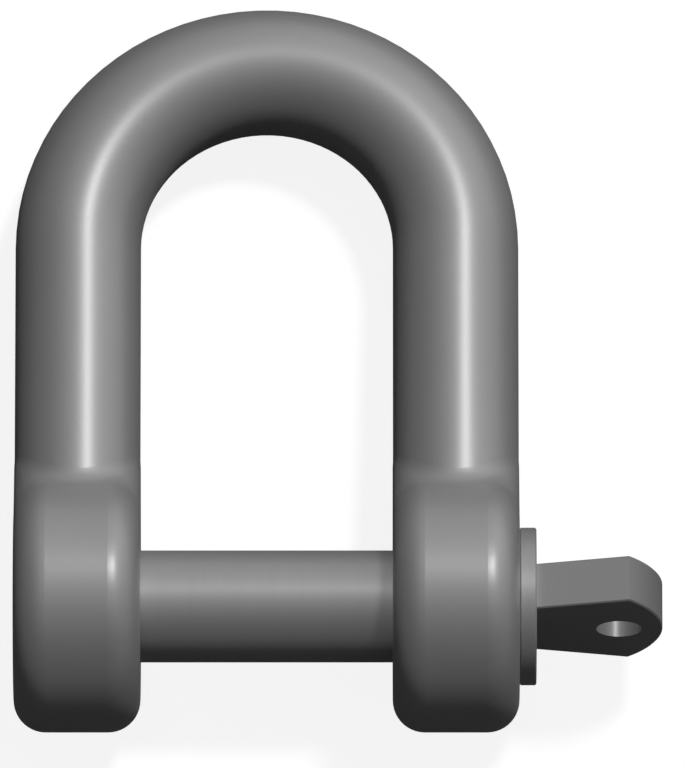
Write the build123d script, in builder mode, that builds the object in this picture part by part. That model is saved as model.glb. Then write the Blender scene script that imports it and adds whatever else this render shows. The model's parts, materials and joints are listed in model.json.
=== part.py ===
"""D-shackle: a forged bow with two eyes and a screw pin, lying on its side.

Sizes are in millimetres. The origin is on the pin's axis, halfway between the eyes.
+X runs along the pin toward its head, +Y toward the crown and +Z up.
"""
import math
import os

from build123d import *

# bow
bar_d = 18.0              # round bar of the legs and crown
inside_w = 36.0           # clear width between the eyes
eye_d = 36.0              # outside of the eye, on the pin's axis
eye_over_bar = 0.1        # how much thicker than the bar an eye is, face to face
eye_rim_r = 4.6           # rounding of the eye's rims
blend_r = 4.0             # hollow fillet where a leg runs into its eye
leg_len = 54.5            # pin axis to the centre of the crown's arc
mouth_chamfer = 0.6       # broken edges of the holes in the eyes

# pin, and its fit in the eyes
pin_d = 16.0
clear_gap = 0.5           # play all round the pin in the plain hole on the head's side
tap_gap = 0.1             # from the thread's crest to the bottom of the tapped hole's thread
thread_depth = 1.225      # crest to root of the pin's thread
relief_depth = 1.5        # groove between the shank and the thread
relief_len = 1.8
shank_in_eye = 1.5        # how far the plain shank reaches into the tapped eye
tip_back = 0.7            # tip stops this far short of the eye's outer face
tip_chamfer = 1.2
collar_step = 3.25        # height of the collar over the shank
collar_t = 2.4
head_break = 0.2          # chamfer on the edges of the collar and the flat head

# flat head
tab_t = 6.8
tab_len = 18.0            # collar to the end of the head
tab_root_w = 17.4
tab_wide_w = 24.0
tab_wide_at = 13.2        # collar to the widest place
tab_eye_d = 6.5
tab_eye_at = 11.8         # collar to the middle of the hole

# modelling allowances
overrun = 1.0             # how far a form runs past the face that it joins or is cut to
near = 0.001              # an edge closer than this to a place lies there

# derived sizes and places
eye_t = bar_d + eye_over_bar
clear_bore_d = pin_d + 2 * clear_gap
tapped_bore_d = pin_d + 2 * tap_gap
thread_d = pin_d - 2 * thread_depth
relief_d = pin_d - 2 * relief_depth
collar_d = pin_d + 2 * collar_step
leg_x = inside_w / 2 + eye_t / 2
face_x = inside_w / 2 + eye_t
crown_reach = leg_len + leg_x
lean = math.asin((eye_d - bar_d) / 2 / crown_reach)

# The bow lies on its eyes and its crown, so it leans by this small angle.
along = Vector(0, math.cos(lean), -math.sin(lean))
normal = Vector(0, math.sin(lean), math.cos(lean))
flat = Plane(origin=(0, 0, 0), x_dir=(1, 0, 0), z_dir=normal)


def across(x):
    """Plane square to the pin at x, with its own x along the legs."""
    return Plane(origin=(x, 0, 0), x_dir=along, z_dir=(1, 0, 0))


def square_to_legs(distance):
    """Plane square to the legs, at a distance from the pin's axis."""
    return Plane(origin=along * distance, x_dir=(1, 0, 0), z_dir=along)


shoulder = eye_d / 2 + 3 * blend_r    # the crown bar takes over from the legs here

with BuildPart() as bow:
    # wide drums and short legs first, so the hollow fillet runs round the whole leg
    with BuildSketch(across(-leg_x)):
        Circle(eye_d / 2)
    extrude(amount=eye_t, both=True)
    with BuildSketch(across(leg_x)):
        Circle(eye_d / 2)
    extrude(amount=eye_t, both=True)
    with BuildSketch(square_to_legs(0)):
        with Locations((-leg_x, 0), (leg_x, 0)):
            Circle(bar_d / 2)
    extrude(amount=shoulder)
    roots = [e for e in bow.edges() if e.geom_type not in (GeomType.CIRCLE, GeomType.LINE)]
    fillet(roots, blend_r)
    # then the drums are cut down to the thickness of the eyes and their rims rounded
    with BuildSketch(flat):
        with Locations((-leg_x, 0), (leg_x, 0)):
            Rectangle(eye_t, 2 * (shoulder + overrun))
    extrude(amount=eye_d, both=True, mode=Mode.INTERSECT)
    faces_x = (-face_x, -inside_w / 2, inside_w / 2, face_x)
    rims = [e for e in bow.edges()
            if e.bounding_box().size.X < near
            and min(abs(e.center().X - x) for x in faces_x) < near]
    fillet(rims, eye_rim_r)
    # the rest of the legs and the half-round crown, in one sweep
    with BuildLine(flat) as path:
        Line((-leg_x, shoulder), (-leg_x, leg_len))
        ThreePointArc((-leg_x, leg_len), (0, crown_reach), (leg_x, leg_len))
        Line((leg_x, leg_len), (leg_x, shoulder))
    with BuildSketch(square_to_legs(shoulder)):
        with Locations((-leg_x, 0)):
            Circle(bar_d / 2)
    sweep(path=path.line)
    # holes with broken edges, plain on the right and tapped on the left
    with BuildSketch(across(leg_x)):
        Circle(clear_bore_d / 2)
    extrude(amount=eye_t, both=True, mode=Mode.SUBTRACT)
    with BuildSketch(across(-leg_x)):
        Circle(tapped_bore_d / 2)
    extrude(amount=eye_t, both=True, mode=Mode.SUBTRACT)
    mouths = [e for e in bow.edges().filter_by(GeomType.CIRCLE)
              if abs(e.radius - clear_bore_d / 2) < near
              or abs(e.radius - tapped_bore_d / 2) < near]
    chamfer(mouths, mouth_chamfer)
bow.part.label = "bow"

# pin lengths along X
shank_end = -inside_w / 2 - shank_in_eye
relief_end = shank_end - relief_len
tip = -face_x + tip_back
head_x = face_x + collar_t

with BuildPart() as pin:
    # shank, relief, thread zone, tip and collar, turned about the pin's axis
    with BuildSketch(Plane(origin=(0, 0, 0), x_dir=(1, 0, 0), z_dir=-normal)):
        with BuildLine():
            Polyline(
                (tip, 0),
                (tip, thread_d / 2 - tip_chamfer),
                (tip + tip_chamfer, thread_d / 2),
                (relief_end, thread_d / 2),
                (relief_end, relief_d / 2),
                (shank_end, relief_d / 2),
                (shank_end, pin_d / 2),
                (face_x, pin_d / 2),
                (face_x, collar_d / 2 - head_break),
                (face_x + head_break, collar_d / 2),
                (head_x - head_break, collar_d / 2),
                (head_x, collar_d / 2 - head_break),
                (head_x, 0),
                (tip, 0),
            )
        make_face()
    revolve(axis=Axis.X)
    # flat head that widens from the collar and ends in an arc
    with BuildSketch(square_to_legs(0)):
        with BuildLine():
            Line((head_x - overrun, -tab_root_w / 2), (head_x - overrun, tab_root_w / 2))
            Line((head_x - overrun, tab_root_w / 2), (head_x, tab_root_w / 2))
            Line((head_x, tab_root_w / 2), (head_x + tab_wide_at, tab_wide_w / 2))
            ThreePointArc(
                (head_x + tab_wide_at, tab_wide_w / 2),
                (head_x + tab_len, 0),
                (head_x + tab_wide_at, -tab_wide_w / 2),
            )
            Line((head_x + tab_wide_at, -tab_wide_w / 2), (head_x, -tab_root_w / 2))
            Line((head_x, -tab_root_w / 2), (head_x - overrun, -tab_root_w / 2))
        make_face()
    extrude(amount=tab_t / 2, both=True)
    outline = [e for e in pin.edges()
               if abs(abs(e.center().dot(along)) - tab_t / 2) < near
               and e.bounding_box().size.X > near]
    chamfer(outline, head_break)
    with BuildSketch(square_to_legs(0)):
        with Locations((head_x + tab_eye_at, 0)):
            Circle(tab_eye_d / 2)
    extrude(amount=tab_t / 2, both=True, mode=Mode.SUBTRACT)
pin.part.label = "pin"

os.makedirs("parts", exist_ok=True)
export_step(bow.part, "parts/bow.step")
export_step(pin.part, "parts/pin.step")
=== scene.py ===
"""Looks of the lying d-shackle: satin steel, both threads, a pale floor and a soft studio light.

Lengths are in metres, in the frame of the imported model: the origin is on the pin's axis, halfway
between the eyes, +X runs toward the pin's head, +Y toward the crown and +Z up.
"""
import json
import math

import bmesh
import bpy
from mathutils import Matrix, Vector


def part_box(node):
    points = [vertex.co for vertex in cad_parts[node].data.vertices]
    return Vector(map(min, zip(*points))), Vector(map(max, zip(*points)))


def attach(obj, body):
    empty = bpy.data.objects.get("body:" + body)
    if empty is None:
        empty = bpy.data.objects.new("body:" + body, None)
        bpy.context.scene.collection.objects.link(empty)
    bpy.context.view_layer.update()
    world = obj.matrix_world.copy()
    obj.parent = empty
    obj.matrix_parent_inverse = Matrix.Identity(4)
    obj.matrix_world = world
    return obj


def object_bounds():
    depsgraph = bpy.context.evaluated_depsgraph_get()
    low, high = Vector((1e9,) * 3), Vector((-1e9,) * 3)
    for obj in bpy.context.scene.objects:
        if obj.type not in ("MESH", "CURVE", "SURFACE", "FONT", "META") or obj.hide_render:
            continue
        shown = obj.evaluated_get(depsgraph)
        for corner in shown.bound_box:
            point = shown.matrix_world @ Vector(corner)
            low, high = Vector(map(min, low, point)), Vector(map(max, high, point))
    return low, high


MM = 0.001

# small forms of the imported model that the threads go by
THREAD_DEPTH = 1.225 * MM       # from the pin's full radius to its thread zone
TAP_GAP = 0.1 * MM              # from the pin's full radius to the wall of the tapped hole
TIP_CHAMFER = 1.2 * MM
SHANK_IN_EYE = 1.5 * MM         # how far the plain shank reaches into the tapped eye
RELIEF_LEN = 1.8 * MM           # groove between the shank and the thread
MOUTH_CHAMFER = 0.6 * MM        # broken edges of the tapped hole
COLLAR_T = 2.4 * MM

# ridges of the metric thread
PITCH = 2.0 * MM
FLANK = math.radians(30)        # a flank's lean from square to the pin's axis
CREST_HALF = PITCH / 16         # half the flat on top of a ridge
CREST_WEAR = 0.12 * MM          # how far the pin's crests stay below its full radius
CREST_GAP = 0.205 * MM          # from the pin's thread zone to the crests in the eye
SHANK_GAP = 0.2 * MM            # between the pin's shank and the end of the thread in the eye
THREAD_SINK = 0.05 * MM         # how far a ridge's base lies inside the steel
EYE_PHASE = math.pi             # the eye's ridge lies half a turn from the pin's
STEPS_PER_TURN = 72
SHARP_ANGLE = math.radians(30)  # edges of a ridge that bend more than this stay crisp

# steel: rough metal under a smoother skin
STEEL_GREY = 0.285
METAL_SHARE = 0.8
ROUGHNESS = (0.71, 0.79)        # over the grain
SKIN_WEIGHT = 0.95
SKIN_ROUGHNESS = 0.36
SKIN_IOR = 1.45
GRAIN_SCALE = 2500.0
GRAIN_DETAIL = 4.0
GRAIN_ROUND_PIN = 0.03          # share of its scale across the pin's axis, where the pin is turned
GRAIN_STRENGTH = 0.03
GRAIN_DEPTH = 0.1 * MM
CLOUD_SCALE = 60.0
CLOUD_DETAIL = 3.0
CLOUD_SHADES = (0.96, 1.04)     # on the steel's grey
NOISE_ROUGHNESS = 0.6

# the photograph's view
PHOTO_W = 685
PHOTO_H = 768
PX_PER_M = 6985.0               # the 18 mm bar is 126 px wide
PIN_MIDDLE_PX = (266.8, 605.8)  # the origin, from the picture's top left corner
VIEW_TILT = math.radians(20.3)  # camera off the square view of the bow, toward the eyes
LENS = 1250.0                   # in millimetres, so long that little perspective shows
SENSOR = 36.0                   # in millimetres, along the picture's taller side
CLIP_END = 100.0

# light
KEY_VIEW = (0.285, 0.600, 0.745)    # toward the lamp: right, up and toward the camera
KEY_IRRADIANCE = 2.85
KEY_ANGLE = math.radians(7.6)
KEY_OPEN = 0.7                  # share of the key that casts no shadow
FILL = 0.09                     # what lights the dull share of the steel all round
ZENITH = 0.045                  # what the steel mirrors from overhead
HORIZON = 0.34                  # what it mirrors from the horizon
HORIZON_TOP = 0.7               # Z of the direction at which the horizon's glow has faded
CROWN_SIDE = (0.60, 0.75, 0.0)  # toward the crown and the head's side
CROWN_GLOW = 1.0                # what the steel mirrors from there, beyond the horizon's glow
CROWN_GLOW_FROM = 0.3           # this glow begins where a direction leans so far that way

# floor
FLOOR_REACH = 6.0
FLOOR_BOUNCE = 0.03             # its paleness to the light that it throws up
FLOOR_MIRRORED = 0.045          # its paleness in the steel
FLOOR_PALE = 0.45               # its paleness and its glow to the camera, white together
FLOOR_GLOW = 0.62

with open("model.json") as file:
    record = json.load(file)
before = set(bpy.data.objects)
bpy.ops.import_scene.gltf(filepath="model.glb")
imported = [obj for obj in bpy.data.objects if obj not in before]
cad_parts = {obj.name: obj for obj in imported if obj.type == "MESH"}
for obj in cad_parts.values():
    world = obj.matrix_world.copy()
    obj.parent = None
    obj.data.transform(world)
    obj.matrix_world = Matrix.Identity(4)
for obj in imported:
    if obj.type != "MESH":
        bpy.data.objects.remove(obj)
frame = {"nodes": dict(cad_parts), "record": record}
cad_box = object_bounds()

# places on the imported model
MOUNTS = {mount["name"]: mount for mount in frame["record"]["mounts"]}
PIN_R = MOUNTS["pin_span"]["dims"]["r_mm"] * MM
EYE_INNER_X = MOUNTS["pin_span"]["dims"]["length_mm"] * MM / 2
EYE_OUTER_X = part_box("bow")[1].x
TIP_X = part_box("pin")[0].x
HEAD_X = EYE_OUTER_X + COLLAR_T         # where the collar ends and the flat head begins
FLOOR_Z = cad_box[0].z

# the thread zone's cylinder on the pin, and the tapped hole's up to just short of the shank
SHANK_X = -EYE_INNER_X - SHANK_IN_EYE
ROOT_R = PIN_R - THREAD_DEPTH
ROOT_SPAN = (TIP_X + TIP_CHAMFER, SHANK_X - RELIEF_LEN)
BORE_R = PIN_R + TAP_GAP
BORE_SPAN = (MOUTH_CHAMFER - EYE_OUTER_X, SHANK_X - SHANK_GAP)

# directions: along the leaning legs, square to the bow, and the axes of the picture
RIGHT = Vector((1, 0, 0))
ALONG = -Vector(MOUNTS["bow_seat"]["axis"]).normalized()
NORMAL = RIGHT.cross(ALONG)
UP = ALONG * math.cos(VIEW_TILT) + NORMAL * math.sin(VIEW_TILT)
TOWARD = NORMAL * math.cos(VIEW_TILT) - ALONG * math.sin(VIEW_TILT)


def node(tree, kind, operation=None, **inputs):
    """A shader node with its operation and plain inputs set."""
    made = tree.nodes.new(kind)
    if operation:
        made.operation = operation
    for name, value in inputs.items():
        made.inputs[name.replace("_", " ")].default_value = value
    return made


def between(tree, source, low, high, start=0.0, end=1.0, kind="LINEAR"):
    """Turns a value that runs from start to end into one that runs from low to high."""
    ramp = node(tree, "ShaderNodeMapRange", From_Min=start, From_Max=end, To_Min=low, To_Max=high)
    ramp.interpolation_type = kind
    tree.links.new(source, ramp.inputs["Value"])
    return ramp.outputs["Result"]


def noise(tree, vector, scale, detail):
    """A noise texture that follows a vector."""
    made = node(tree, "ShaderNodeTexNoise", Scale=scale, Detail=detail, Roughness=NOISE_ROUGHNESS)
    tree.links.new(vector, made.inputs["Vector"])
    return made.outputs["Fac"]


def steel(name, grain_vector):
    """Satin steel with a fine grain in its gloss and relief, and a faint cloud in its colour."""
    material = bpy.data.materials.new(name)
    material.use_nodes = True
    tree = material.node_tree
    shader = tree.nodes["Principled BSDF"]
    shader.inputs["Metallic"].default_value = METAL_SHARE
    shader.inputs["IOR"].default_value = SKIN_IOR
    shader.inputs["Coat Weight"].default_value = SKIN_WEIGHT
    shader.inputs["Coat Roughness"].default_value = SKIN_ROUGHNESS
    shader.inputs["Coat IOR"].default_value = SKIN_IOR
    place = tree.nodes.new("ShaderNodeTexCoord").outputs["Object"]
    grain = noise(tree, grain_vector(tree, place), GRAIN_SCALE, GRAIN_DETAIL)
    cloud = noise(tree, place, CLOUD_SCALE, CLOUD_DETAIL)
    shade = node(tree, "ShaderNodeVectorMath", "SCALE")
    shade.inputs[0].default_value = (STEEL_GREY, STEEL_GREY, STEEL_GREY)
    tree.links.new(between(tree, cloud, *CLOUD_SHADES), shade.inputs["Scale"])
    tree.links.new(shade.outputs["Vector"], shader.inputs["Base Color"])
    tree.links.new(between(tree, grain, *ROUGHNESS), shader.inputs["Roughness"])
    bump = node(tree, "ShaderNodeBump", Strength=GRAIN_STRENGTH, Distance=GRAIN_DEPTH)
    tree.links.new(grain, bump.inputs["Height"])
    tree.links.new(bump.outputs["Normal"], shader.inputs["Normal"])
    tree.links.new(bump.outputs["Normal"], shader.inputs["Coat Normal"])
    return material


def even(tree, place):
    """Grain of a forged face, the same in all directions."""
    return place


def turned(tree, place):
    """Grain that runs round the pin up to its flat head, and is even there."""
    apart = tree.nodes.new("ShaderNodeSeparateXYZ")
    tree.links.new(place, apart.inputs[0])
    head = node(tree, "ShaderNodeMath", "GREATER_THAN")
    head.inputs[1].default_value = HEAD_X
    tree.links.new(apart.outputs["X"], head.inputs[0])
    scale = between(tree, head.outputs[0], GRAIN_ROUND_PIN, 1.0)
    joined = tree.nodes.new("ShaderNodeCombineXYZ")
    tree.links.new(apart.outputs["X"], joined.inputs["X"])
    for axis in ("Y", "Z"):
        squeezed = node(tree, "ShaderNodeMath", "MULTIPLY")
        tree.links.new(apart.outputs[axis], squeezed.inputs[0])
        tree.links.new(scale, squeezed.inputs[1])
        tree.links.new(squeezed.outputs[0], joined.inputs[axis])
    return joined.outputs[0]


def dress(obj, material):
    """Gives an object one material."""
    obj.data.materials.clear()
    obj.data.materials.append(material)


def ridge_profile(base_r, crest_r):
    """Corners of a ridge with 60 degrees between its flanks, as offsets along X with radii."""
    base_half = CREST_HALF + abs(crest_r - base_r) * math.tan(FLANK)
    return (-base_half, base_r), (-CREST_HALF, crest_r), (CREST_HALF, crest_r), (base_half, base_r)


def helical_ridge(name, span, base_r, crest_r, chamfered, phase):
    """A closed thread ridge on a right-handed helix about X, which the chamfers at its ends cut."""
    steps = round((span[1] - span[0]) / PITCH * STEPS_PER_TURN)
    form = bmesh.new()
    rings = []
    for i in range(steps + 1):
        x = span[0] + (span[1] - span[0]) * i / steps
        angle = 2 * math.pi * x / PITCH + phase
        ring = []
        for offset, radius in ridge_profile(base_r, chamfered(x, crest_r)):
            r = chamfered(x + offset, radius)
            ring.append(form.verts.new((x + offset, r * math.cos(angle), r * math.sin(angle))))
        rings.append(ring)
    for here, there in zip(rings, rings[1:]):
        for j in range(len(here)):
            k = (j + 1) % len(here)
            form.faces.new((here[j], here[k], there[k], there[j]))
    form.faces.new(rings[0])
    form.faces.new(rings[-1])
    bmesh.ops.recalc_face_normals(form, faces=form.faces)
    mesh = bpy.data.meshes.new(name)
    form.to_mesh(mesh)
    form.free()
    mesh.shade_smooth()
    mesh.set_sharp_from_angle(angle=SHARP_ANGLE)
    obj = bpy.data.objects.new(name, mesh)
    bpy.context.scene.collection.objects.link(obj)
    return obj


def pin_chamfer(x, radius):
    """A radius on the pin's thread, cut by 45 degree cones at the tip and at the relief groove."""
    beyond = max(ROOT_SPAN[0] - x, x - ROOT_SPAN[1])
    sink = THREAD_SINK if radius < ROOT_R else 0.0
    return min(radius, ROOT_R - beyond - sink)


def eye_chamfer(x, radius):
    """A radius on the eye's thread, cut by 45 degree cones at both ends of the tapped stretch."""
    beyond = max(BORE_SPAN[0] - x, x - BORE_SPAN[1])
    sink = THREAD_SINK if radius > BORE_R else 0.0
    return max(radius, BORE_R + beyond + sink)


def add_thread(name, material, body, span, base_r, crest_r, chamfered, phase):
    """A thread in its steel, riding on its body."""
    thread = helical_ridge(name, span, base_r, crest_r, chamfered, phase)
    dress(thread, material)
    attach(thread, body)


def by_ray(tree, plain, mirrored, seen):
    """Mixes what lights the object, what its gloss mirrors and what the camera sees."""
    path = tree.nodes.new("ShaderNodeLightPath")
    gloss = node(tree, "ShaderNodeMath", "MAXIMUM")
    tree.links.new(path.outputs["Is Glossy Ray"], gloss.inputs[0])
    tree.links.new(path.outputs["Is Transmission Ray"], gloss.inputs[1])
    shown = plain
    for choice, shader in ((gloss.outputs[0], mirrored), (path.outputs["Is Camera Ray"], seen)):
        mix = tree.nodes.new("ShaderNodeMixShader")
        tree.links.new(choice, mix.inputs[0])
        tree.links.new(shown.outputs[0], mix.inputs[1])
        tree.links.new(shader.outputs[0], mix.inputs[2])
        shown = mix
    return shown.outputs[0]


def grey(level):
    """A grey with its alpha."""
    return (level, level, level, 1.0)


def pale_floor():
    """Floor that the camera sees as white with a faint shadow, and that throws little light up."""
    material = bpy.data.materials.new("pale_floor")
    material.use_nodes = True
    tree = material.node_tree
    tree.nodes.clear()
    bounce = node(tree, "ShaderNodeBsdfDiffuse", Color=grey(FLOOR_BOUNCE))
    mirrored = node(tree, "ShaderNodeBsdfDiffuse", Color=grey(FLOOR_MIRRORED))
    pale = node(tree, "ShaderNodeBsdfDiffuse", Color=grey(FLOOR_PALE))
    glow = node(tree, "ShaderNodeEmission", Color=grey(1.0), Strength=FLOOR_GLOW)
    seen = tree.nodes.new("ShaderNodeAddShader")
    tree.links.new(pale.outputs[0], seen.inputs[0])
    tree.links.new(glow.outputs[0], seen.inputs[1])
    out = tree.nodes.new("ShaderNodeOutputMaterial")
    tree.links.new(by_ray(tree, bounce, mirrored, seen), out.inputs["Surface"])
    return material


def add_floor():
    """Square floor at the height of the eyes' lowest line."""
    signs = ((-1, -1), (1, -1), (1, 1), (-1, 1))
    corners = [(FLOOR_REACH * x, FLOOR_REACH * y, FLOOR_Z) for x, y in signs]
    mesh = bpy.data.meshes.new("floor")
    mesh.from_pydata(corners, [], [(0, 1, 2, 3)])
    floor = bpy.data.objects.new("floor", mesh)
    bpy.context.scene.collection.objects.link(floor)
    dress(floor, pale_floor())


def add_world():
    """Surroundings: white to the camera, a glow at the horizon and toward the crown in the steel."""
    world = bpy.data.worlds.new("studio")
    bpy.context.scene.world = world
    world.use_nodes = True
    tree = world.node_tree
    tree.nodes.clear()
    direction = tree.nodes.new("ShaderNodeTexCoord").outputs["Generated"]
    apart = tree.nodes.new("ShaderNodeSeparateXYZ")
    tree.links.new(direction, apart.inputs[0])
    ring = between(tree, apart.outputs["Z"], HORIZON, ZENITH, 0.0, HORIZON_TOP, "SMOOTHSTEP")
    side = node(tree, "ShaderNodeVectorMath", "DOT_PRODUCT")
    side.inputs[1].default_value = CROWN_SIDE
    tree.links.new(direction, side.inputs[0])
    toward_crown = side.outputs["Value"]
    crown = between(tree, toward_crown, 0.0, CROWN_GLOW, CROWN_GLOW_FROM, 1.0, "SMOOTHSTEP")
    both = node(tree, "ShaderNodeMath", "ADD")
    tree.links.new(ring, both.inputs[0])
    tree.links.new(crown, both.inputs[1])
    fill = node(tree, "ShaderNodeBackground", Color=grey(1.0), Strength=FILL)
    mirrored = node(tree, "ShaderNodeBackground", Color=grey(1.0))
    tree.links.new(both.outputs[0], mirrored.inputs["Strength"])
    white = node(tree, "ShaderNodeBackground", Color=grey(1.0), Strength=1.0)
    out = tree.nodes.new("ShaderNodeOutputWorld")
    tree.links.new(by_ray(tree, fill, mirrored, white), out.inputs["Surface"])


def add_key():
    """Key light from above, and a little from the crown and the head's side, in two shares."""
    direction = RIGHT * KEY_VIEW[0] + UP * KEY_VIEW[1] + TOWARD * KEY_VIEW[2]
    for name, share, shadow in (("key_open", KEY_OPEN, False), ("key", 1 - KEY_OPEN, True)):
        lamp = bpy.data.lights.new(name, "SUN")
        lamp.energy = share * KEY_IRRADIANCE
        lamp.angle = KEY_ANGLE
        lamp.use_shadow = shadow
        key = bpy.data.objects.new(name, lamp)
        key.rotation_euler = direction.to_track_quat("Z", "Y").to_euler()
        bpy.context.scene.collection.objects.link(key)


def add_camera():
    """The photograph's view, with the pin's middle on its own pixel."""
    right = (PHOTO_W / 2 - PIN_MIDDLE_PX[0]) / PX_PER_M
    up = (PIN_MIDDLE_PX[1] - PHOTO_H / 2) / PX_PER_M / math.cos(VIEW_TILT)
    distance = PHOTO_H / PX_PER_M * LENS / SENSOR
    lens = bpy.data.cameras.new("camera")
    lens.sensor_width = SENSOR
    lens.lens = LENS
    lens.clip_end = CLIP_END
    camera = bpy.data.objects.new("camera", lens)
    turn = Matrix((RIGHT, UP, TOWARD)).transposed().to_4x4()
    camera.matrix_world = Matrix.Translation(RIGHT * right + ALONG * up + TOWARD * distance) @ turn
    bpy.context.scene.collection.objects.link(camera)
    bpy.context.scene.camera = camera
    bpy.context.scene.view_settings.view_transform = "Standard"


bow_steel = steel("bow_steel", even)
pin_steel = steel("pin_steel", turned)
dress(frame["nodes"]["bow"], bow_steel)
dress(frame["nodes"]["pin"], pin_steel)
add_thread("pin_thread", pin_steel, "pin", ROOT_SPAN, ROOT_R - THREAD_SINK, PIN_R - CREST_WEAR,
           pin_chamfer, phase=0.0)
add_thread("eye_thread", bow_steel, "bow", BORE_SPAN, BORE_R + THREAD_SINK, ROOT_R + CREST_GAP,
           eye_chamfer, phase=EYE_PHASE)
add_floor()
add_world()
add_key()
add_camera()
